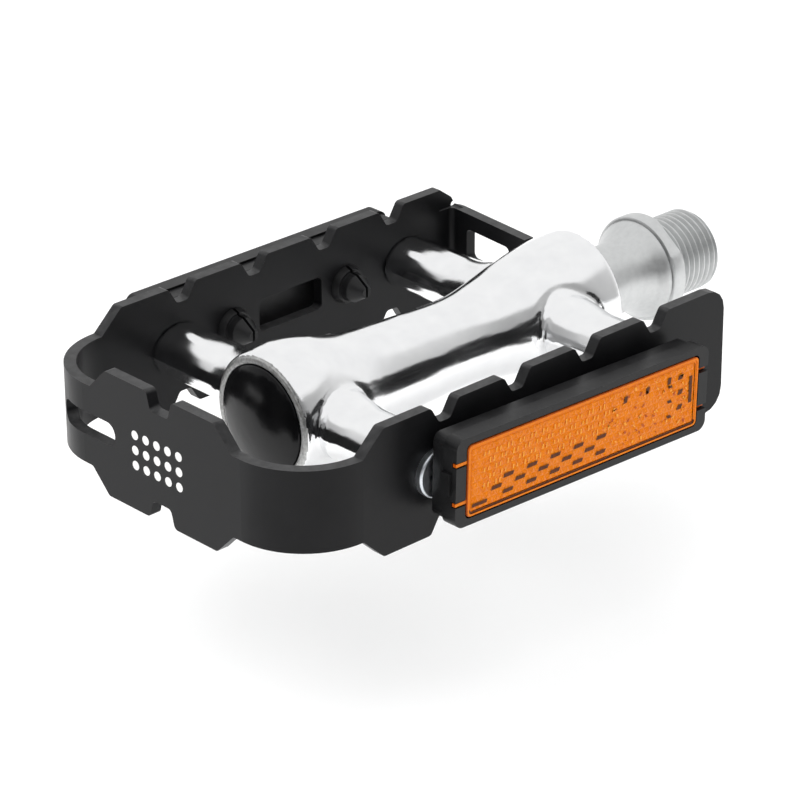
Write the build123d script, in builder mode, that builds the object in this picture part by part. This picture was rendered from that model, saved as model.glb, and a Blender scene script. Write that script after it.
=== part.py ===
"""Right-hand flat bicycle pedal with a toothed one-piece cage.

Millimetres. X runs along the spindle toward the crank, Y points from the front plate to the
rear plate, Z is up. The origin is the centre of the shoulder that seats against the crank.
"""

from build123d import *
import math
import os

os.makedirs("parts", exist_ok=True)

# ---- driving dimensions ----
CAGE_OUTER_X = -108.7
CAGE_INNER_X = -15.7
CAGE_WIDTH = 63.4
SHEET = 2.0
TOOTH_TOP = 10.8
LOW_EDGE = 6.9
CORNER_R = 13.0

NOTCH_FLOOR = 7.95
NOTCH_PITCH = 15.56
NOTCH_START = -81.64
NOTCH_TOP = 5.8
NOTCH_BOTTOM = 2.3
END_NOTCH_FLOOR = 7.7
TOOTH_ROUND = 0.9

RETURN_BEND_R = 3.0
RETURN_LEAN = 4.4
RETURN_LENGTH = 18.0
RETURN_SLOT = (14.6, 25.8, -1.8, 4.1)
RETURN_CLEARANCE_R = 11.8
RELIEF = (-16.9, 7.1, 0.6)
END_SLOT = (10.9, 25.0, -1.9, 2.1)

WINDOW_X = (-62.3, -48.3)
WINDOW_Z = (-2.8, 3.1)

ARM_X = (-80.0, -28.5)
ARM_HALF_WIDTH = 5.5
ARM_HALF_HEIGHT = 4.5
ARM_ROOT = (7.6, 6.4)
ARM_ROOT_Y = 8.0
ARM_NECK = (6.0, 5.0)
ARM_NECK_Y = 15.0
SCREW_X = (-81.0, -29.5)
SCREW_R = 2.45
SCREW_HOLE_R = 2.5
SCREW_LENGTH = 12.0
HEAD_R = 4.0
HEAD_T = 1.3

BARREL_OUTER_X = -88.0
BARREL_INNER_X = -17.4
BARREL_END_R = (10.7, 11.3)
BARREL_WAIST = [(-83, 11.2), (-77.9, 10.7), (-69.3, 8.5), (-58, 7.75), (-46, 7.45), (-38, 8.5),
                (-30.2, 10.1), (-23, 11.1)]
BARREL_BORE_R = 6.0
CAP_R = 9.03
CAP_BORE_R = 9.1
CAP_WALL = 0.85
CAP_DOME = 1.8

THREAD_R = 7.14
THREAD_ROOT_R = 6.35
THREAD_PITCH = 1.27
THREAD_RINGS = 9
THREAD_LAND = 0.18
THREAD_END_X = 11.26
FLANGE_R = 9.3
FLANGE_T = 2.67
FLAT_DISTANCE = 8.5
FLAT_TILT = 36.9
NECK_R = 6.2
FLARE = [(-11, 6.12), (-8.4, 6.2), (-6.9, 6.5), (-5.3, 7.2), (-4.2, 7.9), (-3.4, 8.45)]

BALL_R = 1.5875
RACE_R = BALL_R + 0.03
INNER_ROW_X = -24.5
INNER_ROW_R = 6.9
INNER_BALLS = 12
OUTER_ROW_X = -78.6
OUTER_ROW_R = 6.0
OUTER_BALLS = 11
INNER_SEAT_R = 9.5
INNER_SEAT_X = -27.4
OUTER_SEAT_R = 8.62
OUTER_SEAT_X = (-83.5, -75.6)
SEAT_GAP = 0.02
SPINDLE_END_X = -87.0
END_THREAD_R = 3.0
END_BORE_R = 3.05
END_SHOULDER_X = -76.8
KEYWAY_WIDTH = 1.3
KEYWAY_DEPTH = 0.5
LOCK_WASHER_X = (-83.25, -82.45)
LOCK_WASHER_R = 5.6
LOCK_NUT_X = (-86.3, -83.3)
LOCK_NUT_FLATS = 10.0
SEAL_X = (-20.4, -17.9)
SEAL_BORE_R = 6.55

REFLECTOR_X = -55.4
REFLECTOR_LENGTH = 56.0
REFLECTOR_HEIGHT = 14.8
FRONT_TILT = 1.7
BASE_DEPTH = (1.75, 4.35)
HOUSING_DEPTH = (4.4, 7.25)
LENS_DEPTH = (5.5, 7.4)
LENS_LENGTH = 51.3
LENS_HEIGHT = 12.0
LENS_GAP = 0.25
PRONG_Z = 3.3
PRONG_WIDTH = 0.6
PEG_X = 12.7
PEG_R = 2.3
PEG_HOLE_R = 2.6

# ---- derived positions ----
HALF_W = CAGE_WIDTH / 2
INSIDE_Y = HALF_W - SHEET
CORNER_X = CAGE_OUTER_X + CORNER_R
CORNER_Y = HALF_W - CORNER_R
CUT_Z = TOOTH_TOP + 2
DOME_EDGE_R = CAP_R - 0.15
DOME_RISE = CAP_DOME - 0.3
DOME_R = (DOME_EDGE_R**2 + DOME_RISE**2) / (2 * DOME_RISE)
DOME_CENTRE_X = BARREL_OUTER_X - CAP_DOME + DOME_R
DOME_ANGLE = math.degrees(math.asin(DOME_EDGE_R / DOME_R))
HOLLOW_ANGLE = math.degrees(math.asin((CAP_R - CAP_WALL) / (DOME_R - CAP_WALL)))
FRONT_FACE = Plane(
    origin=(REFLECTOR_X, -HALF_W, 0),
    x_dir=(math.cos(math.radians(FRONT_TILT)), 0, -math.sin(math.radians(FRONT_TILT))),
    z_dir=(0, -1, 0),
)
REAR_FACE = Plane(origin=(REFLECTOR_X, HALF_W, 0), x_dir=(-1, 0, 0), z_dir=(0, 1, 0))


def save(part, name):
    """Label one piece and write it to its own file."""
    part.label = name
    export_step(part, f"parts/{name}.step")


def notch_points(left, floor, top_width, bottom_width):
    """Four corners of one tapered notch, going right."""
    flank = (top_width - bottom_width) / 2
    return [
        (left, TOOTH_TOP),
        (left + flank, floor),
        (left + top_width - flank, floor),
        (left + top_width, TOOTH_TOP),
    ]


def side_edge(last_points):
    """Upper edge of a side plate from the low outer corner to its free end."""
    edge = [(CORNER_X, LOW_EDGE), (CORNER_X + 4.2, TOOTH_TOP)]
    for k in range(4):
        left = NOTCH_START + k * NOTCH_PITCH
        edge += notch_points(left, NOTCH_FLOOR, NOTCH_TOP, NOTCH_BOTTOM)
    return edge + last_points


# ---- cage: one folded band with toothed edges ----
front_edge = side_edge(
    [
        (-19.5, TOOTH_TOP),
        (-18.05, 10.51),
        (-16.81, 9.69),
        (-15.99, 8.45),
        (CAGE_INNER_X, 7.0),
        (CAGE_INNER_X, 5),
        (CAGE_INNER_X + 2, 5),
    ]
)
rear_edge = side_edge([(-20.4, TOOTH_TOP), (-17.4, 8.6), (-16.5, LOW_EDGE), (-13.7, LOW_EDGE)])
end_edge = [(-HALF_W, LOW_EDGE), (-16.8, LOW_EDGE), (-12.9, TOOTH_TOP)]
end_edge += notch_points(-2.95, END_NOTCH_FLOOR, 5.9, 4.2)
end_edge += [(12.9, TOOTH_TOP), (16.8, LOW_EDGE), (HALF_W, LOW_EDGE)]
waste_cuts = [
    (Plane.XZ, front_edge, HALF_W + 1, CAGE_INNER_X),
    (Plane.XZ.offset(-HALF_W - 1), rear_edge, SHEET + 1.5, CAGE_INNER_X),
    (Plane.YZ.offset(CAGE_OUTER_X - 1), end_edge, CORNER_R + 1, HALF_W),
]
with BuildPart() as cage:
    with BuildSketch(Plane.XY.offset(-CUT_Z + 1)):
        with BuildLine():
            front = Line((CAGE_INNER_X, -HALF_W), (CORNER_X, -HALF_W))
            corner_a = JernArc(front @ 1, front % 1, CORNER_R, -90)
            end = Line(corner_a @ 1, (CAGE_OUTER_X, CORNER_Y))
            corner_b = JernArc(end @ 1, end % 1, CORNER_R, -90)
            rear = Line(corner_b @ 1, (CAGE_INNER_X - RETURN_BEND_R, HALF_W))
            bend = JernArc(rear @ 1, rear % 1, RETURN_BEND_R, -90 - RETURN_LEAN)
            strip = PolarLine(bend @ 1, RETURN_LENGTH, direction=bend % 1)
            tip = PolarLine(strip @ 1, SHEET, direction=(strip % 1).rotate(Axis.Z, -90))
            strip_in = PolarLine(tip @ 1, RETURN_LENGTH, direction=(strip % 1) * -1)
            bend_in = JernArc(
                strip_in @ 1, strip_in % 1, RETURN_BEND_R - SHEET, 90 + RETURN_LEAN
            )
            rear_in = Line(bend_in @ 1, (CORNER_X, INSIDE_Y))
            corner_b_in = JernArc(rear_in @ 1, rear_in % 1, CORNER_R - SHEET, 90)
            end_in = Line(corner_b_in @ 1, (CAGE_OUTER_X + SHEET, -CORNER_Y))
            corner_a_in = JernArc(end_in @ 1, end_in % 1, CORNER_R - SHEET, 90)
            front_in = Line(corner_a_in @ 1, (CAGE_INNER_X, -INSIDE_Y))
            Line(front_in @ 1, front @ 0)
        make_face()
    extrude(amount=2 * CUT_Z - 2)

    # toothed edges: the waste above and below each profile
    for plane, edge, depth, limit in waste_cuts:
        with BuildSketch(plane) as waste:
            with BuildLine():
                Polyline((edge[0][0], CUT_Z), *edge, (edge[-1][0], CUT_Z), close=True)
            make_face()
            corners = waste.vertices().filter_by_position(Axis.Y, LOW_EDGE - 0.1, TOOTH_TOP + 0.1)
            fillet(corners.filter_by_position(Axis.X, edge[0][0] + 0.1, limit - 0.1), TOOTH_ROUND)
            mirror(about=Plane.XZ)
        extrude(amount=depth, mode=Mode.SUBTRACT)

    # low height of the return strip
    for side in (1, -1):
        with BuildSketch(Plane.XY.offset(side * LOW_EDGE)):
            with Locations((CAGE_INNER_X + 1, 0)):
                Rectangle(6, HALF_W - 1.5, align=(Align.MAX, Align.MIN))
        extrude(amount=side * CUT_Z, mode=Mode.SUBTRACT)

    # strap slots through the outer corner and the return strip
    for start_x, slot, round_r in ((CAGE_OUTER_X - 1, END_SLOT, 1.95), (CAGE_INNER_X - 5, RETURN_SLOT, 1.0)):
        with BuildSketch(Plane.YZ.offset(start_x)):
            with Locations(((slot[0] + slot[1]) / 2, (slot[2] + slot[3]) / 2)):
                RectangleRounded(slot[1] - slot[0], slot[3] - slot[2], round_r)
        extrude(amount=CORNER_R - 1, mode=Mode.SUBTRACT)

    # hollow end of the return strip around the barrel
    with BuildSketch(Plane.YZ.offset(CAGE_INNER_X - 6)):
        Circle(RETURN_CLEARANCE_R)
    extrude(amount=8, mode=Mode.SUBTRACT)

    # relief nicks where the strip leaves the rear plate
    with BuildSketch(Plane.XZ.offset(-HALF_W - 1)):
        with Locations((RELIEF[0], RELIEF[1]), (RELIEF[0], -RELIEF[1])):
            Circle(RELIEF[2])
    extrude(amount=RETURN_BEND_R + 1.5, mode=Mode.SUBTRACT)

    # central windows of both side plates
    with BuildSketch(Plane.XZ.offset(-HALF_W - 1)):
        with Locations((sum(WINDOW_X) / 2, sum(WINDOW_Z) / 2)):
            RectangleRounded(WINDOW_X[1] - WINDOW_X[0], WINDOW_Z[1] - WINDOW_Z[0], 1.0)
    extrude(amount=CAGE_WIDTH + 2, mode=Mode.SUBTRACT)

    # round holes for the cage screws
    with BuildSketch(Plane.XZ.offset(-HALF_W - 1)):
        with Locations((SCREW_X[0], 0), (SCREW_X[1], 0)):
            Circle(SCREW_HOLE_R)
    extrude(amount=CAGE_WIDTH + 2, mode=Mode.SUBTRACT)

    # round holes for the reflector pegs
    for face in (FRONT_FACE, REAR_FACE):
        with BuildSketch(face.offset(1)):
            with Locations((-PEG_X, 0), (PEG_X, 0)):
                Circle(PEG_HOLE_R)
        extrude(amount=-SHEET - 2, mode=Mode.SUBTRACT)
save(cage.part, "cage")


# ---- body: barrel with two cross arms ----
with BuildPart() as body:
    with BuildSketch(Plane.XY):
        with BuildLine():
            outline = Spline(
                (BARREL_OUTER_X, BARREL_END_R[0]), *BARREL_WAIST, (BARREL_INNER_X, BARREL_END_R[1])
            )
            Polyline(outline @ 1, (BARREL_INNER_X, 0), (BARREL_OUTER_X, 0), outline @ 0)
        make_face()
    revolve(axis=Axis.X)
    for x in ARM_X:
        for side in (1, -1):
            with BuildSketch(Plane.XZ.offset(side * INSIDE_Y)):
                with Locations((x, 0)):
                    Ellipse(ARM_HALF_WIDTH, ARM_HALF_HEIGHT)
            with BuildSketch(Plane.XZ.offset(side * ARM_NECK_Y)):
                with Locations((x, 0)):
                    Ellipse(ARM_NECK[0], ARM_NECK[1])
            with BuildSketch(Plane.XZ.offset(side * ARM_ROOT_Y)):
                with Locations((x, 0)):
                    Ellipse(ARM_ROOT[0], ARM_ROOT[1])
            loft()
        with BuildSketch(Plane.XZ.offset(-INSIDE_Y)):
            with Locations((x, 0)):
                Rectangle(2 * ARM_HALF_WIDTH + 0.5, 0.7)
        extrude(amount=2 * INSIDE_Y)

    # bores: cap counterbore, outer cup seat, through bore, inner cup seat
    with BuildSketch(Plane.XY):
        with BuildLine():
            Polyline(
                (BARREL_OUTER_X - 1, 0),
                (BARREL_OUTER_X - 1, CAP_BORE_R),
                (OUTER_SEAT_X[0], CAP_BORE_R),
                (OUTER_SEAT_X[0], OUTER_SEAT_R),
                (OUTER_SEAT_X[1], OUTER_SEAT_R),
                (OUTER_SEAT_X[1], BARREL_BORE_R),
                (INNER_SEAT_X, BARREL_BORE_R),
                (INNER_SEAT_X, INNER_SEAT_R),
                (BARREL_INNER_X + 1, INNER_SEAT_R),
                (BARREL_INNER_X + 1, 0),
                close=True,
            )
        make_face()
    revolve(axis=Axis.X, mode=Mode.SUBTRACT)

    # screw holes in the four arm ends
    for side in (1, -1):
        with BuildSketch(Plane.XZ.offset(-side * INSIDE_Y)):
            with Locations((SCREW_X[0], 0), (SCREW_X[1], 0)):
                Circle(SCREW_HOLE_R)
        extrude(amount=side * (SCREW_LENGTH - SHEET + 0.5), mode=Mode.SUBTRACT)
save(body.part, "body")


# ---- dust cap ----
with BuildPart() as dust_cap:
    with BuildSketch(Plane.XY):
        with BuildLine():
            dome = CenterArc((DOME_CENTRE_X, 0), DOME_R, 180, -DOME_ANGLE)
            hollow = CenterArc((DOME_CENTRE_X, 0), DOME_R - CAP_WALL, 180, -HOLLOW_ANGLE)
            Polyline(
                dome @ 1,
                (BARREL_OUTER_X, CAP_R),
                (BARREL_OUTER_X + 3.5, CAP_R),
                (BARREL_OUTER_X + 3.5, CAP_R - CAP_WALL),
                hollow @ 1,
            )
            Line(dome @ 0, hollow @ 0)
        make_face()
    revolve(axis=Axis.X)
save(dust_cap.part, "dust_cap")


# ---- spindle: crank thread, flanged neck, bearing race and end thread ----
with BuildPart() as spindle:
    with BuildSketch(Plane.XY):
        ring_edge = [(0, FLANGE_R - 0.35), (0, THREAD_R)]
        for k in range(THREAD_RINGS):
            start = k * THREAD_PITCH
            flank = (THREAD_PITCH - 2 * THREAD_LAND) / 2
            ring_edge.append((start + THREAD_LAND, THREAD_R))
            ring_edge.append((start + THREAD_LAND + flank, THREAD_ROOT_R))
            ring_edge.append((start + 2 * THREAD_LAND + flank, THREAD_ROOT_R))
            if k < THREAD_RINGS - 1:
                ring_edge.append((start + THREAD_PITCH, THREAD_R))
        with BuildLine():
            race = CenterArc((INNER_ROW_X, INNER_ROW_R), RACE_R, 270, 90)
            flare = Spline((-14, NECK_R - 0.1), *FLARE, (-FLANGE_T, FLANGE_R - 0.15))
            Polyline(
                (THREAD_END_X, 0),
                (THREAD_END_X, THREAD_ROOT_R - 0.6),
                (THREAD_END_X - 0.5, THREAD_ROOT_R - 0.1),
                *reversed(ring_edge),
                (-0.35, FLANGE_R),
                (-FLANGE_T + 0.05, FLANGE_R),
                flare @ 1,
            )
            Polyline(
                flare @ 0,
                (INNER_ROW_X + 2.6, NECK_R),
                (INNER_ROW_X + 2.6, INNER_ROW_R),
                race @ 1,
            )
            Polyline(
                race @ 0,
                (INNER_SEAT_X, INNER_ROW_R - RACE_R),
                (END_SHOULDER_X, 4.2),
                (END_SHOULDER_X, END_THREAD_R),
                (SPINDLE_END_X + 0.4, END_THREAD_R),
                (SPINDLE_END_X, END_THREAD_R - 0.4),
                (SPINDLE_END_X, 0),
                (THREAD_END_X, 0),
            )
        make_face()
    revolve(axis=Axis.X)

    # two wrench flats across the flange
    for turn in (0, 180):
        with BuildSketch(Plane.YZ.offset(-FLANGE_T + 0.05)):
            with Locations(Rotation(0, 0, FLAT_TILT + turn)):
                with Locations((0, FLAT_DISTANCE)):
                    Rectangle(30, 5, align=(Align.CENTER, Align.MIN))
        extrude(amount=FLANGE_T + 0.1, mode=Mode.SUBTRACT)

    # keyway along the end thread
    with BuildSketch(Plane.YZ.offset(SPINDLE_END_X)):
        with Locations((0, END_THREAD_R)):
            Rectangle(KEYWAY_WIDTH, 2 * KEYWAY_DEPTH)
    extrude(amount=7, mode=Mode.SUBTRACT)
save(spindle.part, "spindle")


# ---- inner bearing cup, pressed into the crank side of the barrel ----
with BuildPart() as inner_cup:
    with BuildSketch(Plane.XY):
        with BuildLine():
            groove = CenterArc((INNER_ROW_X, INNER_ROW_R), RACE_R, 90, 90)
            Polyline(
                groove @ 0,
                (INNER_ROW_X + 2.3, INNER_ROW_R + RACE_R),
                (INNER_ROW_X + 2.3, INNER_SEAT_R - SEAT_GAP),
                (INNER_SEAT_X + SEAT_GAP, INNER_SEAT_R - SEAT_GAP),
                (INNER_SEAT_X + SEAT_GAP, INNER_ROW_R),
                groove @ 1,
            )
        make_face()
    revolve(axis=Axis.X)
save(inner_cup.part, "inner_bearing_cup")


# ---- outer bearing cup, pressed into the outer side of the barrel ----
with BuildPart() as outer_cup:
    with BuildSketch(Plane.XY):
        with BuildLine():
            groove = CenterArc((OUTER_ROW_X, OUTER_ROW_R), RACE_R, 0, 90)
            Polyline(
                groove @ 0,
                (OUTER_SEAT_X[1] - SEAT_GAP, OUTER_ROW_R),
                (OUTER_SEAT_X[1] - SEAT_GAP, OUTER_SEAT_R - SEAT_GAP),
                (OUTER_ROW_X - 3, OUTER_SEAT_R - SEAT_GAP),
                (OUTER_ROW_X - 3, OUTER_ROW_R + RACE_R),
                groove @ 1,
            )
        make_face()
    revolve(axis=Axis.X)
save(outer_cup.part, "outer_bearing_cup")


# ---- two rows of balls ----
with BuildPart() as inner_balls:
    with Locations(Plane.YZ.offset(INNER_ROW_X)):
        with PolarLocations(INNER_ROW_R, INNER_BALLS):
            Sphere(BALL_R)
save(inner_balls.part, "inner_bearing_balls")

with BuildPart() as outer_balls:
    with Locations(Plane.YZ.offset(OUTER_ROW_X)):
        with PolarLocations(OUTER_ROW_R, OUTER_BALLS):
            Sphere(BALL_R)
save(outer_balls.part, "outer_bearing_balls")


# ---- adjustable cone on the end thread ----
with BuildPart() as cone:
    with BuildSketch(Plane.XY):
        with BuildLine():
            track = CenterArc((OUTER_ROW_X, OUTER_ROW_R), RACE_R, 180, 90)
            Polyline(
                track @ 1,
                (END_SHOULDER_X - 0.1, OUTER_ROW_R - RACE_R),
                (END_SHOULDER_X - 0.1, END_BORE_R),
                (LOCK_WASHER_X[1] + 0.05, END_BORE_R),
                (LOCK_WASHER_X[1] + 0.05, OUTER_ROW_R + 0.9),
                (OUTER_ROW_X - RACE_R - 0.3, OUTER_ROW_R + 0.9),
                track @ 0,
            )
        make_face()
    revolve(axis=Axis.X)
save(cone.part, "outer_cone")


# ---- keyed lock washer ----
with BuildPart() as lock_washer:
    with BuildSketch(Plane.YZ.offset(LOCK_WASHER_X[0])):
        Circle(LOCK_WASHER_R)
        Circle(END_BORE_R, mode=Mode.SUBTRACT)
        with Locations((0, END_THREAD_R - KEYWAY_DEPTH + 0.1)):
            Rectangle(KEYWAY_WIDTH - 0.2, 0.8, align=(Align.CENTER, Align.MIN))
    extrude(amount=LOCK_WASHER_X[1] - LOCK_WASHER_X[0])
save(lock_washer.part, "lock_washer")


# ---- hexagonal lock nut ----
with BuildPart() as lock_nut:
    with BuildSketch(Plane.YZ.offset(LOCK_NUT_X[0])):
        RegularPolygon(LOCK_NUT_FLATS / 2, 6, major_radius=False)
        Circle(END_BORE_R, mode=Mode.SUBTRACT)
    extrude(amount=LOCK_NUT_X[1] - LOCK_NUT_X[0])
    outer_rim = lock_nut.edges().filter_by_position(Axis.X, LOCK_NUT_X[0] - 0.01, LOCK_NUT_X[0] + 0.01)
    chamfer(outer_rim.filter_by(GeomType.LINE), 0.4)
save(lock_nut.part, "lock_nut")


# ---- seal ring in the crank side of the barrel ----
with BuildPart() as seal:
    with BuildSketch(Plane.XY):
        with Locations((sum(SEAL_X) / 2, (INNER_SEAT_R + SEAL_BORE_R) / 2)):
            Rectangle(SEAL_X[1] - SEAL_X[0], INNER_SEAT_R - SEAL_BORE_R - 2 * SEAT_GAP)
    revolve(axis=Axis.X)
save(seal.part, "inner_seal")


# ---- four cage screws ----
def make_screw(x, side):
    """Pan-head screw through a side plate into an arm end."""
    plate = Plane(origin=(x, side * HALF_W, 0), x_dir=(side, 0, 0), z_dir=(0, -side, 0))
    with BuildPart() as screw:
        with BuildSketch(plane_out(plate)):
            Circle(HEAD_R)
        extrude(amount=HEAD_T)
        rim = screw.edges().group_by(Axis.Y)[0 if side < 0 else -1]
        fillet(rim, 0.45)
        with BuildSketch(plate.offset(-0.02)):
            Circle(SCREW_R)
        extrude(amount=SCREW_LENGTH)
        point = screw.edges().group_by(Axis.Y)[-1 if side < 0 else 0]
        chamfer(point, 0.6)
        with BuildSketch(plane_out(plate).offset(HEAD_T)):
            Rectangle(4.4, 0.9)
            Rectangle(0.9, 4.4)
        extrude(amount=-0.9, taper=12, mode=Mode.SUBTRACT)
    return screw.part


def plane_out(plate):
    """The same plane turned to face away from the pedal."""
    return Plane(origin=plate.origin, x_dir=plate.x_dir, z_dir=plate.z_dir * -1)


for side, side_name in ((-1, "front"), (1, "rear")):
    for x, end_name in zip(SCREW_X, ("outer", "inner")):
        save(make_screw(x, side), f"cage_screw_{side_name}_{end_name}")


# ---- reflectors: pegged base, open housing and prismatic lens ----
def make_base(face):
    """Backing plate with two split snap pegs through the side plate."""
    with BuildPart() as base:
        with BuildSketch(face.offset(BASE_DEPTH[0])):
            RectangleRounded(REFLECTOR_LENGTH - 0.8, REFLECTOR_HEIGHT - 0.8, 1.4)
        extrude(amount=BASE_DEPTH[1] - BASE_DEPTH[0])
        with BuildSketch(face.offset(0.05)):
            with Locations((-PEG_X, 0), (PEG_X, 0)):
                Circle(3.6)
        extrude(amount=BASE_DEPTH[0] + 0.5)
        with BuildSketch(face.offset(-SHEET - 1.5)):
            with Locations((-PEG_X, 0), (PEG_X, 0)):
                Circle(PEG_R)
        extrude(amount=SHEET + 2)
        with BuildSketch(face.offset(-SHEET - 0.08)):
            with Locations((-PEG_X, 0), (PEG_X, 0)):
                Circle(3.4)
        extrude(amount=-1.3, taper=18)
        with BuildSketch(face.offset(-SHEET - 1.3)):
            with Locations((-PEG_X, 0), (PEG_X, 0)):
                Circle(2.6)
        extrude(amount=-1.5, taper=5)
        with BuildSketch(face.offset(-SHEET - 2.75)):
            with Locations((-PEG_X, 0), (PEG_X, 0)):
                Circle(2.47)
        extrude(amount=-2.45, taper=32)
        with BuildSketch(face.offset(-SHEET - 6)):
            with Locations((-PEG_X, 0), (PEG_X, 0)):
                Rectangle(0.5, 9)
        extrude(amount=6 + SHEET - 0.3, mode=Mode.SUBTRACT)
    return base.part


def make_housing(face):
    """Bezel frame with a rebate for the lens and a latch block at each short end."""
    with BuildPart() as housing:
        with BuildSketch(face.offset(HOUSING_DEPTH[0])):
            RectangleRounded(REFLECTOR_LENGTH, REFLECTOR_HEIGHT, 1.7)
        extrude(amount=HOUSING_DEPTH[1] - HOUSING_DEPTH[0])
        with BuildSketch(face.offset(HOUSING_DEPTH[0] + 0.9)):
            RectangleRounded(LENS_LENGTH + 2 * LENS_GAP, LENS_HEIGHT + 2 * LENS_GAP, 1.0)
        extrude(amount=HOUSING_DEPTH[1], mode=Mode.SUBTRACT)
        with BuildSketch(face.offset(HOUSING_DEPTH[0])):
            with Locations((-REFLECTOR_LENGTH / 2, 0), (REFLECTOR_LENGTH / 2, 0)):
                Rectangle(1.2, 3.6)
        extrude(amount=1.9)
        with BuildSketch(face.offset(LENS_DEPTH[1] - 1.1)):
            for side in (1, -1):
                with Locations((0, side * PRONG_Z)):
                    Rectangle(REFLECTOR_LENGTH + 2, PRONG_WIDTH + 0.3)
        extrude(amount=2, mode=Mode.SUBTRACT)
    return housing.part


def make_lens(face):
    """Lens plate with two thin prongs lying over each short end of the housing."""
    with BuildPart() as lens:
        with BuildSketch(face.offset(LENS_DEPTH[0])):
            RectangleRounded(LENS_LENGTH, LENS_HEIGHT, 0.8)
        extrude(amount=LENS_DEPTH[1] - LENS_DEPTH[0])
        with BuildSketch(face.offset(LENS_DEPTH[1] - 0.95)):
            with Locations((0, -PRONG_Z), (0, PRONG_Z)):
                Rectangle(REFLECTOR_LENGTH, PRONG_WIDTH)
        extrude(amount=0.7)
    return lens.part


for face, side_name in ((FRONT_FACE, "front"), (REAR_FACE, "rear")):
    save(make_base(face), f"{side_name}_reflector_base")
    save(make_housing(face), f"{side_name}_reflector_housing")
    save(make_lens(face), f"{side_name}_reflector_lens")
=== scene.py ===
import bpy, bmesh, math, random
import numpy as np
import openvdb as vdb
from mathutils import Vector, Matrix


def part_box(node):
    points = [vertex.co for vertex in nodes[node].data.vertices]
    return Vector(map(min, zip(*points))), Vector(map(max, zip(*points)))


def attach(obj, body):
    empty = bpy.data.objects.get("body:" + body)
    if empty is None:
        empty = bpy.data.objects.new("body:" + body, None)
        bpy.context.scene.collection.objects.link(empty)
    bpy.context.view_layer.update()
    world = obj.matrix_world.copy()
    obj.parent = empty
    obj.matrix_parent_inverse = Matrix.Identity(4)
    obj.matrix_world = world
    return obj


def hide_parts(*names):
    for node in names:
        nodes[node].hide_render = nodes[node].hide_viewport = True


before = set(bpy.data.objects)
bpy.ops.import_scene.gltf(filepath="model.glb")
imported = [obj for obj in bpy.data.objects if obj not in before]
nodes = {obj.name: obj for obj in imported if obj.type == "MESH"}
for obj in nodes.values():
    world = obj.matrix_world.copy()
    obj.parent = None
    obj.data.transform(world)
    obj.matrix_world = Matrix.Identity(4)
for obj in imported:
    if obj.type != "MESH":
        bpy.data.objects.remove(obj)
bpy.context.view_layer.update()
MM = 0.001
lo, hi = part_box("cage")
CAGE_OUT = lo[0]                          # outer end of the cage
HALF_W = hi[1]                            # outside of the rear plate, from the spindle axis
rng = random.Random(7)


# ------------------------------------------------------------------ materials
def new_mat(name):
    m = bpy.data.materials.new(name)
    m.use_nodes = True
    nt = m.node_tree
    nt.nodes.clear()
    out = nt.nodes.new("ShaderNodeOutputMaterial")
    b = nt.nodes.new("ShaderNodeBsdfPrincipled")
    nt.links.new(b.outputs[0], out.inputs[0])
    return m, nt, b


def coords(nt, scale=(1, 1, 1)):
    tc = nt.nodes.new("ShaderNodeTexCoord")
    mp = nt.nodes.new("ShaderNodeMapping")
    mp.inputs["Scale"].default_value = scale
    nt.links.new(tc.outputs["Object"], mp.inputs[0])
    return mp.outputs[0]


def noise(nt, vec, scale, detail=4.0, rough=0.55):
    n = nt.nodes.new("ShaderNodeTexNoise")
    n.inputs["Scale"].default_value = scale
    n.inputs["Detail"].default_value = detail
    n.inputs["Roughness"].default_value = rough
    nt.links.new(vec, n.inputs["Vector"])
    return n.outputs["Fac"]


def ramp(nt, fac, stops):
    r = nt.nodes.new("ShaderNodeValToRGB")
    while len(r.color_ramp.elements) < len(stops):
        r.color_ramp.elements.new(0.5)
    for e, (p, c) in zip(r.color_ramp.elements, stops):
        e.position = p
        e.color = (c, c, c, 1) if isinstance(c, (int, float)) else (*c, 1)
    nt.links.new(fac, r.inputs[0])
    return r.outputs[0]


def bump(nt, height, strength, dist, base=None):
    b = nt.nodes.new("ShaderNodeBump")
    b.inputs["Strength"].default_value = strength
    b.inputs["Distance"].default_value = dist
    nt.links.new(height, b.inputs["Height"])
    if base is not None:
        nt.links.new(base, b.inputs["Normal"])
    return b.outputs[0]


def mat_black_coat():
    """Satin anodised black sheet: faint grain, slightly uneven gloss, a few pale rubs."""
    m, nt, b = new_mat("black_coat")
    v = coords(nt)
    fine = noise(nt, v, 9000, 3)
    broad = noise(nt, v, 120, 5)
    flat_tone = ramp(nt, broad, [(0.3, (0.0050, 0.0050, 0.0056)),
                                 (0.72, (0.0085, 0.0085, 0.0094))])
    cut_tone = ramp(nt, noise(nt, v, 700, 5), [(0.3, (0.020, 0.020, 0.021)),
                                               (0.7, (0.045, 0.045, 0.046))])
    tc = nt.nodes.new("ShaderNodeTexCoord")
    sep = nt.nodes.new("ShaderNodeSeparateXYZ")
    nt.links.new(tc.outputs["Normal"], sep.inputs[0])
    upward = nt.nodes.new("ShaderNodeMath")
    upward.operation = "ABSOLUTE"
    nt.links.new(sep.outputs["Z"], upward.inputs[0])
    mix = nt.nodes.new("ShaderNodeMix")
    mix.data_type = "RGBA"
    nt.links.new(ramp(nt, upward.outputs[0], [(0.4, 0.0), (0.8, 1.0)]), mix.inputs["Factor"])
    nt.links.new(flat_tone, mix.inputs["A"])
    nt.links.new(cut_tone, mix.inputs["B"])
    nt.links.new(mix.outputs["Result"], b.inputs["Base Color"])
    nt.links.new(ramp(nt, broad, [(0.25, 0.30), (0.75, 0.43)]), b.inputs["Roughness"])
    b.inputs["Specular IOR Level"].default_value = 0.19
    nt.links.new(bump(nt, fine, 0.14, 0.00005), b.inputs["Normal"])
    return m


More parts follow.
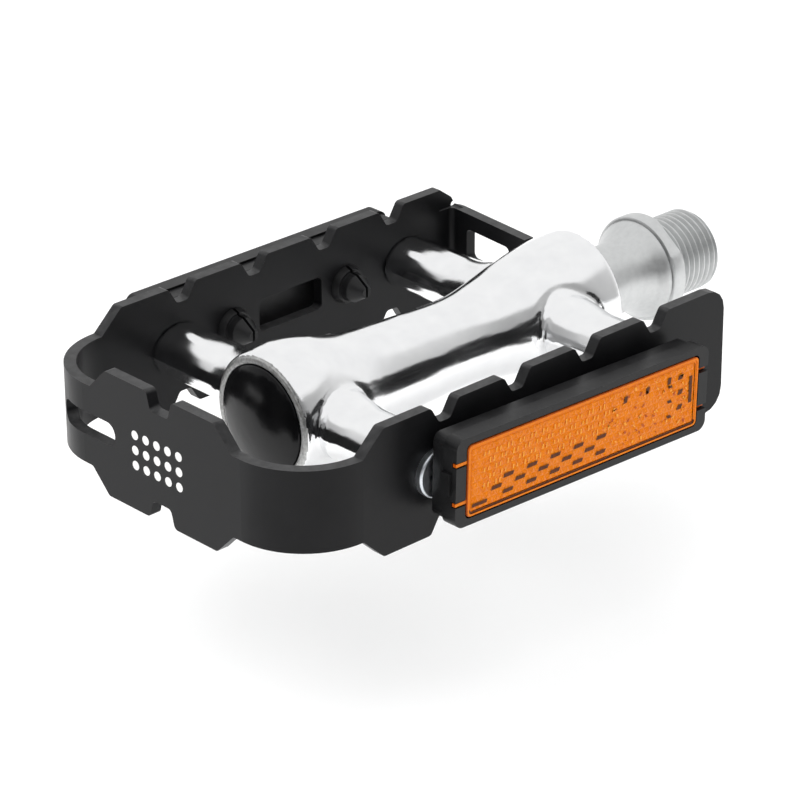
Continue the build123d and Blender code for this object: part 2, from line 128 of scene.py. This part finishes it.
def mat_worn_edge():
    """The same coat where the sheet's edge has rubbed thin: greyer and smoother."""
    m, nt, b = new_mat("worn_edge")
    v = coords(nt)
    patch = noise(nt, v, 450, 6, 0.65)
    nt.links.new(ramp(nt, patch, [(0.38, (0.016, 0.016, 0.018)), (0.55, (0.05, 0.05, 0.054)),
                                  (0.72, (0.16, 0.16, 0.165))]), b.inputs["Base Color"])
    nt.links.new(ramp(nt, patch, [(0.4, 0.34), (0.75, 0.26)]), b.inputs["Roughness"])
    b.inputs["Metallic"].default_value = 0.35
    nt.links.new(bump(nt, noise(nt, v, 5000, 2), 0.1, 0.00005), b.inputs["Normal"])
    return m


def mat_polished():
    """Polished cast aluminium: mirror-like with soft long waves and fine scratches."""
    m, nt, b = new_mat("polished_aluminium")
    v = coords(nt)
    streak = coords(nt, (0.12, 1, 1))
    wave = noise(nt, v, 120, 2, 0.4)
    scratch = noise(nt, streak, 5200, 4, 0.6)
    patch = noise(nt, v, 260, 6, 0.6)
    nt.links.new(ramp(nt, patch, [(0.3, (0.86, 0.865, 0.875)), (0.7, (0.92, 0.925, 0.93))]),
                 b.inputs["Base Color"])
    nt.links.new(ramp(nt, patch, [(0.3, 0.10), (0.62, 0.15), (0.8, 0.21)]), b.inputs["Roughness"])
    b.inputs["Metallic"].default_value = 1.0
    n1 = bump(nt, wave, 0.10, 0.0005)
    nt.links.new(bump(nt, scratch, 0.16, 0.00004, n1), b.inputs["Normal"])
    return m


def mat_raw_cast():
    """Unpolished cast or sawn aluminium."""
    m, nt, b = new_mat("raw_cast")
    v = coords(nt)
    g = noise(nt, v, 1500, 5, 0.65)
    nt.links.new(ramp(nt, g, [(0.3, (0.30, 0.30, 0.30)), (0.7, (0.70, 0.70, 0.69))]),
                 b.inputs["Base Color"])
    b.inputs["Metallic"].default_value = 1.0
    nt.links.new(ramp(nt, g, [(0.3, 0.28), (0.7, 0.42)]), b.inputs["Roughness"])
    nt.links.new(bump(nt, g, 0.7, 0.0003), b.inputs["Normal"])
    return m


def mat_plated(name="zinc_matte", dark=(0.60, 0.61, 0.61), light=(0.68, 0.69, 0.69),
               rough=(0.34, 0.42)):
    """Plated or ground steel with faint turning lines round the spindle axis."""
    m, nt, b = new_mat(name)
    v = coords(nt)
    lines = coords(nt, (1, 0.02, 0.02))
    g = noise(nt, v, 900, 4)
    turn = noise(nt, lines, 9000, 2)
    nt.links.new(ramp(nt, g, [(0.3, dark), (0.7, light)]), b.inputs["Base Color"])
    b.inputs["Metallic"].default_value = 1.0
    nt.links.new(ramp(nt, g, [(0.3, rough[0]), (0.7, rough[1])]), b.inputs["Roughness"])
    n1 = bump(nt, g, 0.12, 0.0001)
    nt.links.new(bump(nt, turn, 0.12, 0.00005, n1), b.inputs["Normal"])
    return m


def mat_gloss_black():
    """Glossy moulded black plastic with faint flow waves."""
    m, nt, b = new_mat("gloss_black")
    v = coords(nt)
    g = noise(nt, v, 230, 3)
    nt.links.new(ramp(nt, g, [(0.3, (0.004, 0.004, 0.0045)), (0.7, (0.007, 0.007, 0.0075))]),
                 b.inputs["Base Color"])
    nt.links.new(ramp(nt, g, [(0.3, 0.14), (0.7, 0.22)]), b.inputs["Roughness"])
    b.inputs["Specular IOR Level"].default_value = 0.24
    nt.links.new(bump(nt, g, 0.18, 0.0003), b.inputs["Normal"])
    return m


def mat_moulded(name="moulded_black", rough=(0.36, 0.48), tone=0.005):
    """Black injection-moulded plastic with a fine spark texture."""
    m, nt, b = new_mat(name)
    v = coords(nt)
    g = noise(nt, v, 3800, 3)
    broad = noise(nt, v, 300, 3)
    nt.links.new(ramp(nt, broad, [(0.3, (tone, tone, tone * 1.08)),
                                  (0.7, (tone * 1.9, tone * 1.9, tone * 2.05))]),
                 b.inputs["Base Color"])
    nt.links.new(ramp(nt, broad, [(0.3, rough[0]), (0.7, rough[1])]), b.inputs["Roughness"])
    b.inputs["Specular IOR Level"].default_value = 0.32
    nt.links.new(bump(nt, g, 0.2, 0.00006), b.inputs["Normal"])
    return m


def mat_tint(name, dark, light, rough=0.2):
    """A small printed detail, or a painted shade or painted highlight on a lens, in two close
    tones.
    """
    m, nt, b = new_mat(name)
    g = noise(nt, coords(nt), 1600, 3)
    nt.links.new(ramp(nt, g, [(0.3, dark), (0.7, light)]), b.inputs["Base Color"])
    nt.links.new(ramp(nt, g, [(0.3, rough), (0.7, rough * 1.3)]), b.inputs["Roughness"])
    b.inputs["Specular IOR Level"].default_value = 0.2
    return m


def mat_amber():
    """Clear amber moulding seen over its prism side."""
    m, nt, b = new_mat("amber_lens")
    v = coords(nt)
    g = noise(nt, v, 900, 3)
    nt.links.new(ramp(nt, g, [(0.3, (0.77, 0.182, 0.0020)), (0.7, (0.87, 0.236, 0.0032))]),
                 b.inputs["Base Color"])
    nt.links.new(ramp(nt, g, [(0.3, 0.10), (0.7, 0.18)]), b.inputs["Roughness"])
    b.inputs["IOR"].default_value = 1.49
    b.inputs["Specular IOR Level"].default_value = 0.16
    nt.links.new(bump(nt, g, 0.05, 0.0001), b.inputs["Normal"])
    return m


def mat_seal():
    """Dull black rubber."""
    m, nt, b = new_mat("seal_rubber")
    v = coords(nt)
    g = noise(nt, v, 2500, 4)
    nt.links.new(ramp(nt, g, [(0.3, (0.01, 0.01, 0.01)), (0.7, (0.022, 0.022, 0.022))]),
                 b.inputs["Base Color"])
    nt.links.new(ramp(nt, g, [(0.3, 0.6), (0.7, 0.75)]), b.inputs["Roughness"])
    nt.links.new(bump(nt, g, 0.3, 0.0001), b.inputs["Normal"])
    return m


BLACK, WORN, POLISH, RAW = mat_black_coat(), mat_worn_edge(), mat_polished(), mat_raw_cast()
ZINC = mat_plated()
BRIGHT = mat_plated("bright_zinc", (0.55, 0.57, 0.62), (0.72, 0.74, 0.78), (0.2, 0.3))
SCREW = mat_plated("screw_zinc", (0.62, 0.66, 0.70), (0.78, 0.81, 0.84), (0.28, 0.36))
GROUND = mat_plated("ground_steel", (0.55, 0.55, 0.56), (0.7, 0.7, 0.71), (0.12, 0.2))
# painted highlight: the housings' bevelled edges get a lighter, glossier black to stand in for the
# light lines along them
MOULD_EDGE_HIGHLIGHT = mat_moulded("moulded_edge_painted_highlight", (0.22, 0.32), 0.014)
GLOSS, MOULD, AMBER, SEAL = mat_gloss_black(), mat_moulded(), mat_amber(), mat_seal()
# painted shade of dark prism cells and of the groove along the bottom of the lens
PAINTED_SHADE_TINT = mat_tint("lens_prism_painted_shade", (0.07, 0.016, 0.001), (0.13, 0.03, 0.002), 0.35)
# painted highlight of prism slivers that catch the light
PAINTED_GLINT_TINT = mat_tint("lens_prism_painted_highlight", (0.90, 0.31, 0.015), (0.95, 0.42, 0.04), 0.25)
# painted shade on the lens sides and on the tongues sitting in shadow
LENS_PAINTED_SHADE = mat_tint("lens_amber_painted_shade", (0.42, 0.07, 0.003), (0.55, 0.10, 0.005), 0.2)
PRINT = mat_tint("white_print", (0.78, 0.78, 0.77), (0.86, 0.86, 0.85), 0.45)


def dress(name, *mats, bevel=0.0, segments=2, edge_mat=None, angle=30):
    """Materials, welded smooth shading and softened edges on a carried-over node."""
    o = nodes[name]
    o.data.materials.clear()
    for m in mats:
        o.data.materials.append(m)
    if edge_mat:
        o.data.materials.append(edge_mat)
    w = o.modifiers.new("weld", "WELD")
    w.merge_threshold = 1e-6
    if bevel:
        b = o.modifiers.new("soft", "BEVEL")
        b.width = bevel
        b.segments = segments
        b.limit_method = "ANGLE"
        b.angle_limit = math.radians(angle)
        b.use_clamp_overlap = True
        if edge_mat:
            b.material = len(mats)
        b.harden_normals = False
    o.modifiers.new("shade", "WEIGHTED_NORMAL").keep_sharp = True


# ------------------------------------------------------------------ camera, floor and light
AZ, EL, ROLL = (math.radians(v) for v in (-43.26, 25.59, -0.27))
DIST = 0.60466                            # camera to target, m
LENS, SENSOR = 163.76, 36                 # mm
target = Vector((-0.05011, 0.00862, -0.01213))
fwd = Vector((-math.sin(AZ) * math.cos(EL), math.cos(AZ) * math.cos(EL), -math.sin(EL)))
right = Vector((math.cos(AZ), math.sin(AZ), 0))
up = right.cross(fwd)
c, s = math.cos(ROLL), math.sin(ROLL)
r2, u2 = right * c + up * s, up * c - right * s
cam_data = bpy.data.cameras.new("camera")
cam_data.lens = LENS
cam_data.sensor_width = SENSOR
cam = bpy.data.objects.new("camera", cam_data)
bpy.context.scene.collection.objects.link(cam)
cam_turn = Matrix((r2, u2, -fwd)).transposed().to_4x4()
cam.matrix_world = Matrix.Translation(target - fwd * DIST) @ cam_turn
bpy.context.scene.camera = cam

FLOOR_Z = -0.0425                         # clear of the cage through its whole turn
FLOOR_SIZE, FLOOR_GLOW = 6, 0.27
bpy.ops.mesh.primitive_plane_add(size=FLOOR_SIZE, location=(0, 0, FLOOR_Z))
floor = bpy.context.object
floor.name = "floor"
fm, fnt, fb = new_mat("floor_white")
fnt.links.new(ramp(fnt, noise(fnt, coords(fnt), 3, 3), [(0.3, 0.72), (0.7, 0.75)]),
              fb.inputs["Base Color"])
fb.inputs["Emission Color"].default_value = (1.0, 1.0, 1.0, 1)
fb.inputs["Emission Strength"].default_value = FLOOR_GLOW
fb.inputs["Roughness"].default_value = 0.9
floor.data.materials.append(fm)

SWEEP = (0.34, 0.365, 0)                  # toward the white sweep, half a unit long
WORLD_STRENGTH = 0.97
world = bpy.data.worlds.new("studio")
bpy.context.scene.world = world
world.use_nodes = True
wnt = world.node_tree
bg = wnt.nodes["Background"]
wtc = wnt.nodes.new("ShaderNodeTexCoord")
wsep = wnt.nodes.new("ShaderNodeSeparateXYZ")
wnt.links.new(wtc.outputs["Generated"], wsep.inputs[0])
behind = wnt.nodes.new("ShaderNodeVectorMath")        # 0.5 toward the sweep, -0.5 away from it
behind.operation = "DOT_PRODUCT"
behind.inputs[1].default_value = SWEEP
wnt.links.new(wtc.outputs["Generated"], behind.inputs[0])
half = wnt.nodes.new("ShaderNodeMath")                # the same, moved to run from 0 to 1
half.operation = "ADD"
half.inputs[1].default_value = 0.5
wnt.links.new(behind.outputs["Value"], half.inputs[0])
wmix = wnt.nodes.new("ShaderNodeMix")
wmix.data_type = "RGBA"
wnt.links.new(ramp(wnt, wsep.outputs["Z"], [(0.58, 0.0), (0.66, 1.0)]), wmix.inputs["Factor"])
room = [(0.0, 0.22), (0.28, 0.42), (0.47, 0.60), (0.70, 0.97), (1.0, 1.0)]
wnt.links.new(ramp(wnt, half.outputs[0], room), wmix.inputs["A"])
wmix.inputs["B"].default_value = (1.0, 1.0, 1.0, 1)
wnt.links.new(wmix.outputs["Result"], bg.inputs[0])
bg.inputs[1].default_value = WORLD_STRENGTH
bpy.context.scene.view_settings.view_transform = "Standard"
bpy.context.scene.view_settings.look = "None"


def softbox(name, loc, aim, size, power):
    """Area light that lights the piece but isn't seen in its reflections."""
    d = bpy.data.lights.new(name, "AREA")
    d.shape = "RECTANGLE"
    d.size, d.size_y = size
    d.energy = power
    o = bpy.data.objects.new(name, d)
    bpy.context.scene.collection.objects.link(o)
    o.location = loc
    o.rotation_euler = (Vector(aim) - Vector(loc)).to_track_quat("-Z", "Y").to_euler()
    o.visible_glossy = False


mid = Vector((-0.055, 0, 0))
softbox("key", (-0.25, 0.15, 0.9), mid, (1.1, 0.9), 5.0)
softbox("side", (0.5, -0.8, 0.45), mid, (0.7, 0.5), 1.6)
softbox("outer", (-0.9, 0.25, 0.25), mid, (0.6, 0.5), 2.5)

# ------------------------------------------------------------------ helpers for new pieces
def add_piece(name, verts, faces, mats, body, face_mats=None, smooth=True,
              sharp=None):
    """New mesh object with its materials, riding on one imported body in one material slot."""
    me = bpy.data.meshes.new(name)
    me.from_pydata([tuple(v) for v in verts], [], faces)
    me.validate()
    me.update()
    for m in mats:
        me.materials.append(m)
    if face_mats:
        for p, k in zip(me.polygons, face_mats):
            p.material_index = k
    if smooth:
        for p in me.polygons:
            p.use_smooth = True
        if sharp is not None:
            me.set_sharp_from_angle(angle=math.radians(sharp))
    o = bpy.data.objects.new(name, me)
    bpy.context.scene.collection.objects.link(o)
    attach(o, body)
    return o


def revolve_x(profile, steps):
    """Vertices and faces of an (x, r) profile in mm turned about the spindle axis."""
    verts, faces = [], []
    n = len(profile)
    for i in range(steps):
        a = 2 * math.pi * i / steps
        for x, r in profile:
            verts.append((x * MM, r * MM * math.cos(a), r * MM * math.sin(a)))
    for i in range(steps):
        j = (i + 1) % steps
        for k in range(n - 1):
            faces.append((i * n + k, i * n + k + 1, j * n + k + 1, j * n + k))
    return verts, faces


def catmull(points, per=10):
    """Smooth (x, r) curve through the given points."""
    p = [points[0]] + list(points) + [points[-1]]
    out = []
    for i in range(1, len(p) - 2):
        for k in range(per):
            t = k / per
            q = []
            for a, b, c_, d in zip(p[i - 1], p[i], p[i + 1], p[i + 2]):
                q.append(0.5 * (2 * b + (c_ - a) * t + (2 * a - 5 * b + 4 * c_ - d) * t * t
                                + (3 * b - a - 3 * c_ + d) * t ** 3))
            out.append(tuple(q))
    out.append(points[-1])
    return out


# ------------------------------------------------------------------ barrel casting
def smooth_min(a, b, k):
    """Union of two distance fields, blended over k mm."""
    h = np.clip(0.5 + 0.5 * (b - a) / k, 0, 1)
    return b + (a - b) * h - k * h * (1 - h)


def smooth_max(a, b, k):
    return -smooth_min(-a, -b, k)


def build_casting():
    """Barrel and four arms blended as one casting, from a signed distance grid."""
    step, pad = 0.42, 3                   # grid spacing in mm, spare cells round the box
    half_z, band = 12.4, 3.0              # grid half height and depth of the stored field, mm
    blo, bhi = (Vector(v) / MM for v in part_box("body"))
    outer_x, inner_x = blo.x, bhi.x
    arms = (outer_x + 8.0, inner_x - 11.1)
    waist = [(-90, 10.6), (-88, 10.7), (-83, 11.2), (-77.9, 10.7), (-69.3, 8.5), (-58, 7.75),
             (-46, 7.45), (-38, 8.5), (-30.2, 10.1), (-23, 11.1), (-17.4, 11.3), (-15, 11.3)]
    curve = np.array(catmull(waist, 12))
    xs = np.arange(outer_x - pad * step, inner_x + pad * step, step)
    ys = np.arange(blo.y - pad * step, bhi.y + pad * step, step)
    zs = np.arange(-half_z, half_z + step, step)
    X, Y, Z = np.meshgrid(xs, ys, zs, indexing="ij")
    R = np.sqrt(Y * Y + Z * Z)
    prof = np.interp(X, curve[:, 0], curve[:, 1])
    barrel = (R - prof) * 0.97
    d = barrel
    for ax in arms:
        t = np.abs(Y)
        flare = np.clip((16.0 - t) / 8.0, 0, 1.2) ** 1.5
        a = 5.45 + 1.3 * flare
        b = 4.45 + 1.9 * flare
        q = np.sqrt(((X - ax) / a) ** 2 + (Z / b) ** 2)
        arm = (q - 1) * np.minimum(a, b)
        ridge = np.maximum(np.abs(X - ax) - a - 0.22, np.abs(Z) - 0.32)
        arm = smooth_min(arm, ridge, 0.35)
        crease = np.exp(-(barrel ** 2 + arm ** 2) / 0.45)
        d = smooth_min(d, arm, 0.45) + 0.30 * crease
    # bore from the outer end: cap seat, outer cup seat, plain bore, inner cup seat
    bore = np.where(X < outer_x + 4.5, 9.1, np.where(X < outer_x + 12.4, 8.62, 6.0))
    bore = np.where(X > inner_x - 10.0, 9.5, bore)
    d = np.maximum(d, bore - R)
    d = smooth_max(d, np.abs(X - (outer_x + inner_x) / 2) - (inner_x - outer_x) / 2, 1.0)
    d = np.maximum(d, np.abs(Y) - bhi.y)
    grid = vdb.FloatGrid()
    grid.background = band
    grid.copyFromArray(np.clip(d, -band, band).astype(np.float32), tolerance=0.0)
    pts, tris, quads = grid.convertToPolygons(isovalue=0.0, adaptivity=0.0)
    pts = pts * step + np.array([xs[0], ys[0], zs[0]])
    pts[:, 0] = np.clip(pts[:, 0], outer_x, inner_x)
    pts[:, 1] = np.clip(pts[:, 1], -bhi.y, bhi.y)
    faces = [tuple(int(i) for i in f) for f in list(quads) + list(tris)]
    return pts * MM, faces


# turned face round the cap: (x from the barrel's end, r) in mm
LIP = [(0.3, 9.12), (0.02, 9.2), (-0.03, 9.32), (-0.03, 10.1), (0.03, 10.22), (0.3, 10.32)]
BORE_R = 0.0097                           # faces nearer the axis that look inward are raw
pts, faces = build_casting()
end_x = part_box("body")[0][0] / MM
ring_pts, ring_faces = revolve_x([(end_x + dx, r) for dx, r in LIP], 200)
cast = add_piece("barrel_casting", [tuple(p) for p in pts] + ring_pts,
                 faces + [tuple(k + len(pts) for k in f) for f in ring_faces],
                 [POLISH, RAW], "pedal",
                 face_mats=[0] * len(faces) + [1] * len(ring_faces))
ends = (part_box("body")[0][0] + 0.0004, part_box("body")[1][0] - 0.0004)
for p in cast.data.polygons:
    at, nrm = p.center, p.normal
    if abs(nrm.x) > 0.8 and (at.x < ends[0] or at.x > ends[1]):
        p.material_index = 1
    if at.y * nrm.y + at.z * nrm.z < 0 and math.hypot(at.y, at.z) < BORE_R:
        p.material_index = 1
cs = cast.modifiers.new("ease", "SMOOTH")
cs.factor, cs.iterations = 0.5, 2
cast.data.set_sharp_from_angle(angle=math.radians(50))
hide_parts("body")


# ------------------------------------------------------------------ spindle with its helical thread
def build_spindle():
    """Neck, flared collar with two wrench flats, and a right-hand helix toward the crank."""
    pitch, crest, root = 1.27, 7.14, 6.36
    steps, length = 144, 11.26
    land, flank = 0.14, 0.72              # root flat and flank, in half pitches
    runout, runout_r = 0.7, 6.5           # thread fades into this undercut at the shoulder
    chamfer, slope = 0.9, 1.1             # end chamfer length and its fall per mm
    flat, flat_from = 0.0085, -0.00255    # wrench flats from the axis, and where they start, m
    neck = [(-27.4, 5.28), (-24.5, 5.28), (-22.9, 6.9), (-21.9, 6.9), (-21.9, 6.2), (-14, 6.1)]
    neck += catmull([(-14, 6.1), (-11, 6.12), (-8.4, 6.2), (-6.9, 6.5), (-5.3, 7.2),
                     (-4.2, 7.9), (-3.4, 8.42), (-2.95, 8.6)], 6)[1:]
    neck += [(-2.86, 8.62), (-2.8, 8.82), (-2.76, 9.0), (-2.66, 9.16), (-2.5, 9.26),
             (-2.3, 9.3), (-0.3, 9.3), (-0.12, 9.24), (0, 9.1), (0, 6.9)]
    rear = [(-87, 0.01), (-87, 2.6), (-86.6, 3.0), (-76.8, 3.0), (-76.8, 4.2)]
    profile = rear + neck
    verts, faces = revolve_x(profile, steps)
    tilt = math.radians(36.9)
    ny, nz = -math.sin(tilt), math.cos(tilt)
    for i, (x, y, z) in enumerate(verts):
        if flat_from < x <= 0.0:
            along = y * ny + z * nz
            over = abs(along) - flat
            if over > 0:
                k = math.copysign(over, along)
                verts[i] = (x, y - k * ny, z - k * nz)
    base = len(verts)
    per = 16
    rows = int(length / pitch * per) + 1
    for r in range(rows + 1):
        for i in range(steps):
            a = 2 * math.pi * i / steps
            x = min(r * pitch / per, length)
            ph = ((x / pitch) + i / steps) % 1.0
            tri = abs(ph - 0.5) * 2
            h = min(max((tri - land) / flank, 0), 1)
            h = h * h * (3 - 2 * h) * 0.35 + h * 0.65
            rad = root + (crest - root) * h
            rad = min(rad, crest - max(0.0, x - (length - chamfer)) * slope)
            if x < runout:
                rad = rad * (x / runout) + runout_r * (1 - x / runout)
            verts.append((x * MM, rad * MM * math.cos(a), rad * MM * math.sin(a)))
    for r in range(rows):
        for i in range(steps):
            j = (i + 1) % steps
            q = base + r * steps
            faces.append((q + i, q + steps + i, q + steps + j, q + j))
    last = base + rows * steps
    for x, rad in [(length, 5.2), (length - 0.5, 4.6), (length - 0.6, 0.01)]:
        ring = len(verts)
        for i in range(steps):
            a = 2 * math.pi * i / steps
            verts.append((x * MM, rad * MM * math.cos(a), rad * MM * math.sin(a)))
        for i in range(steps):
            j = (i + 1) % steps
            faces.append((last + i, ring + i, ring + j, last + j))
        last = ring
    return verts, faces


verts, faces = build_spindle()
spin = add_piece("threaded_spindle", verts, faces, [ZINC], "spindle_group",
                 sharp=24)
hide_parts("spindle")

# ------------------------------------------------------------------ reflector lenses
# slots: plain amber, painted shade, painted highlight, and a deep painted shade
PLAIN, SHADE_SLOT, GLINT_SLOT, DEEP_SHADE_SLOT = range(4)       # material slots of a lens


def build_lens(name, node, out, tilt):
    """Rimmed amber plate over rows of shallow three-sided prisms, with dark cells of painted shade,
    light cells of painted highlight and painted shade on its sides.
    """
    b0, b1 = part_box(node)
    origin = Vector(((b0[0] + b1[0]) / 2, math.copysign(HALF_W, out), 0)) / MM
    xd = Vector((math.cos(tilt) * -out, 0, -math.sin(tilt)))
    yd = Vector((math.sin(tilt), 0, math.cos(tilt)))
    zd = Vector((0, out, 0))
    front, back = 7.4, 5.5                # lens faces, mm out from the cage plate
    hx, hz = 25.65, 6.0                   # half length and half height, mm

    def at(x, z, depth):
        return (origin + xd * x + yd * z + zd * depth) * MM

    verts, faces, kinds = [], [], []

    def face(points, kind=PLAIN):
        n = len(verts)
        verts.extend(at(*p) for p in points)
        faces.append(tuple(range(n, n + len(points))))
        kinds.append(kind)

    def ring(inset, depth, r):
        pts_ = []
        for cx, cz, a0 in ((1, 1, 0), (-1, 1, 90), (-1, -1, 180), (1, -1, 270)):
            for k in range(5):
                a = math.radians(a0 + k * 22.5)
                pts_.append((cx * (hx - inset - r) + r * math.cos(a),
                             cz * (hz - inset - r) + r * math.sin(a), depth))
        return pts_

    rings = [ring(0, back, 0.8), ring(0, front - 0.12, 0.8), ring(0.12, front, 0.7),
             ring(0.40, front, 0.6), ring(0.48, front - 0.14, 0.55),
             ring(0.72, front - 0.14, 0.5), ring(0.80, front - 0.06, 0.45)]
    for a, b in zip(rings, rings[1:]):
        for k in range(len(a)):
            j = (k + 1) % len(a)
            low_side = a[k][1] < 1.2 - hz and a[j][1] < 1.2 - hz
            kind = PLAIN
            # painted shade: groove faces along the bottom take the dark cell colour
            if low_side and (a is rings[4] or a is rings[3]):
                kind = SHADE_SLOT
            # painted shade: the lens sides and outer chamfer take the deep amber shade
            elif a in rings[:2]:
                kind = DEEP_SHADE_SLOT
            face([a[k], a[j], b[j], b[k]], kind)
    face(list(reversed(rings[0])))
    # prism field
    cell, low, high = 1.26, front - 0.20, front - 0.05
    row_h = cell * math.sqrt(3) / 2
    ex, ez = hx - 0.80, hz - 0.80
    rows, cols = int(2 * ez / row_h), int(2 * ex / cell)
    cell, row_h = 2 * ex / cols, 2 * ez / rows

    def corner(i, j):
        x = -ex + (i + 0.5 * (j % 2)) * cell
        return (min(max(x, -ex), ex), -ez + j * row_h)

    for j in range(rows):
        for i in range(-1, cols + 1):
            if j % 2 == 0:
                tris = ((corner(i, j), corner(i + 1, j), corner(i, j + 1)),
                        (corner(i + 1, j), corner(i + 1, j + 1), corner(i, j + 1)))
            else:
                tris = ((corner(i, j), corner(i + 1, j), corner(i + 1, j + 1)),
                        (corner(i, j), corner(i + 1, j + 1), corner(i, j + 1)))
            for t in tris:
                mx, mz = sum(p[0] for p in t) / 3, sum(p[1] for p in t) / 3
                area = abs((t[1][0] - t[0][0]) * (t[2][1] - t[0][1])
                           - (t[2][0] - t[0][0]) * (t[1][1] - t[0][1]))
                if area < 0.02 * cell * row_h:
                    continue
                top = high - rng.uniform(0, 0.06)
                for a, b in ((0, 1), (1, 2), (2, 0)):
                    face([(*t[a], low), (*t[b], low), (mx, mz, top)])
    # painted shade: dark cells in a stepped band along the lower outer half, and a few scattered
    # marks
    pin = front - 0.03

    def cell_mark(x, z, w, h, skew, kind):
        face([(x - w / 2, z - h / 2, pin), (x + w / 2, z - h / 2, pin),
              (x + w / 2 + skew, z + h / 2, pin), (x - w / 2 + skew, z + h / 2, pin)], kind)

    for k in range(6):
        for j in range(3):
            x = -hx + 3.6 + 5.1 * k + 2.52 * j
            if x < -hx + 30 and not (k == 0 and j == 0):
                cell_mark(x, -1.3 - 1.33 * j, 2.1, 0.62, 0.25, SHADE_SLOT)
    cell_mark(-hx + 2.6, -4.3, 3.2, 0.55, 0.1, SHADE_SLOT)
    for k in range(3):
        cell_mark(-hx + 34.4 + 5.0 * k, 3.4 + 0.12 * k, 0.75, 1.1, 0.2, SHADE_SLOT)
        cell_mark(hx - 4.3, 3.6 - 2.6 * k, 1.0, 0.8, 0.35, SHADE_SLOT)
        cell_mark(hx - 6.4, 2.6 - 2.6 * k, 0.9, 0.5, -0.3, SHADE_SLOT)
    cell_mark(hx - 1.75, 0.8, 0.7, 4.6, 0, SHADE_SLOT)
    # painted highlight: light slivers of the prisms that catch the light
    for j in range(5):
        for k in range(11):
            x, z = -hx + 3.9 + 2.52 * k + 1.2 * (j % 2), 3.7 - 1.33 * j
            if z < -0.6 and x > -hx + 8 and j > 3:
                continue
            if x < -hx + 31:
                for side in (-0.42, 0.42):
                    cell_mark(x + side, z, 0.26, rng.uniform(0.6, 0.95), 0.08, GLINT_SLOT)
    # scattered painted highlights and painted shade over the rest of the lens
    for k in range(90):
        x, z = rng.uniform(-hx + 31, hx - 2.5), rng.uniform(-ez + 0.4, ez - 0.4)
        cell_mark(x, z, rng.uniform(0.15, 0.5), rng.uniform(0.12, 0.6), rng.uniform(-0.5, 0.5),
                  rng.choice((GLINT_SLOT, GLINT_SLOT, DEEP_SHADE_SLOT)))
    # two thin tongues over each short end; their sides and ends, and both faces of the pair at end
    # > 0, carry painted shade
    for end in (1, -1):
        for z in (-3.3, 3.3):
            w, d0, d1 = 0.26, front - 0.95, front - (0.30 if end < 0 else 0.85)
            x0, x1 = end * (hx - 0.3), end * 27.95
            for p in (d0, d1):
                q = [(x0, z - w, p), (x1, z - w, p), (x1, z + w, p), (x0, z + w, p)]
                face(q if (p == d1) == (end > 0) else list(reversed(q)), DEEP_SHADE_SLOT if end > 0 else PLAIN)
            for side in (z - w, z + w):
                face([(x0, side, d0), (x1, side, d0), (x1, side, d1), (x0, side, d1)], DEEP_SHADE_SLOT)
            face([(x1, z - w, d0), (x1, z + w, d0), (x1, z + w, d1), (x1, z - w, d1)], DEEP_SHADE_SLOT)
    o = add_piece(name, verts, faces, [AMBER, PAINTED_SHADE_TINT, PAINTED_GLINT_TINT, LENS_PAINTED_SHADE], "pedal",
                  face_mats=kinds, smooth=False)
    bm = bmesh.new()
    bm.from_mesh(o.data)
    bmesh.ops.remove_doubles(bm, verts=bm.verts, dist=1e-6)
    bm.to_mesh(o.data)
    bm.free()
    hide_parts(node)


build_lens("front_prism_lens", "front_reflector_lens", -1, math.radians(1.7))
build_lens("rear_prism_lens", "rear_reflector_lens", 1, 0.0)


# ------------------------------------------------------------------ generic printed mark
def build_mark():
    """A plain grid of small white dots on the flat of the outer end."""
    verts, faces = [], []
    film = 0.00001                        # thickness of the print, m
    x = CAGE_OUT - film
    pitch, rad = 0.0026, 0.00078
    for row in (-1, 0, 1):
        for col in range(-2, 3):
            n = len(verts)
            cy, cz = col * pitch + 0.0008, row * pitch - 0.0004
            for k in range(24):
                a = 2 * math.pi * k / 24
                verts.append((x, cy + rad * math.cos(a), cz + rad * math.sin(a)))
            faces.append(tuple(range(n, n + 24)))
    o = add_piece("printed_dots", verts, faces, [PRINT], "pedal", smooth=False)
    t = o.modifiers.new("film", "SOLIDIFY")
    t.thickness = film
    t.offset = 0


build_mark()

# ------------------------------------------------------------------ carried-over nodes
dress("cage", BLACK, bevel=0.00022, edge_mat=WORN)
dress("dust_cap", GLOSS)
for n in ("inner_bearing_cup", "outer_bearing_cup", "inner_bearing_balls", "outer_bearing_balls",
          "outer_cone"):
    dress(n, GROUND)
for n in ("lock_washer", "lock_nut"):
    dress(n, BRIGHT)
dress("inner_seal", SEAL)
for n in list(nodes):
    if n.startswith("cage_screw"):
        dress(n, SCREW)
    if n.endswith("reflector_base") or n.endswith("reflector_housing"):
        # the bevelled edges take the painted-highlight edge material
        dress(n, MOULD, bevel=0.0003, segments=3, edge_mat=MOULD_EDGE_HIGHLIGHT)
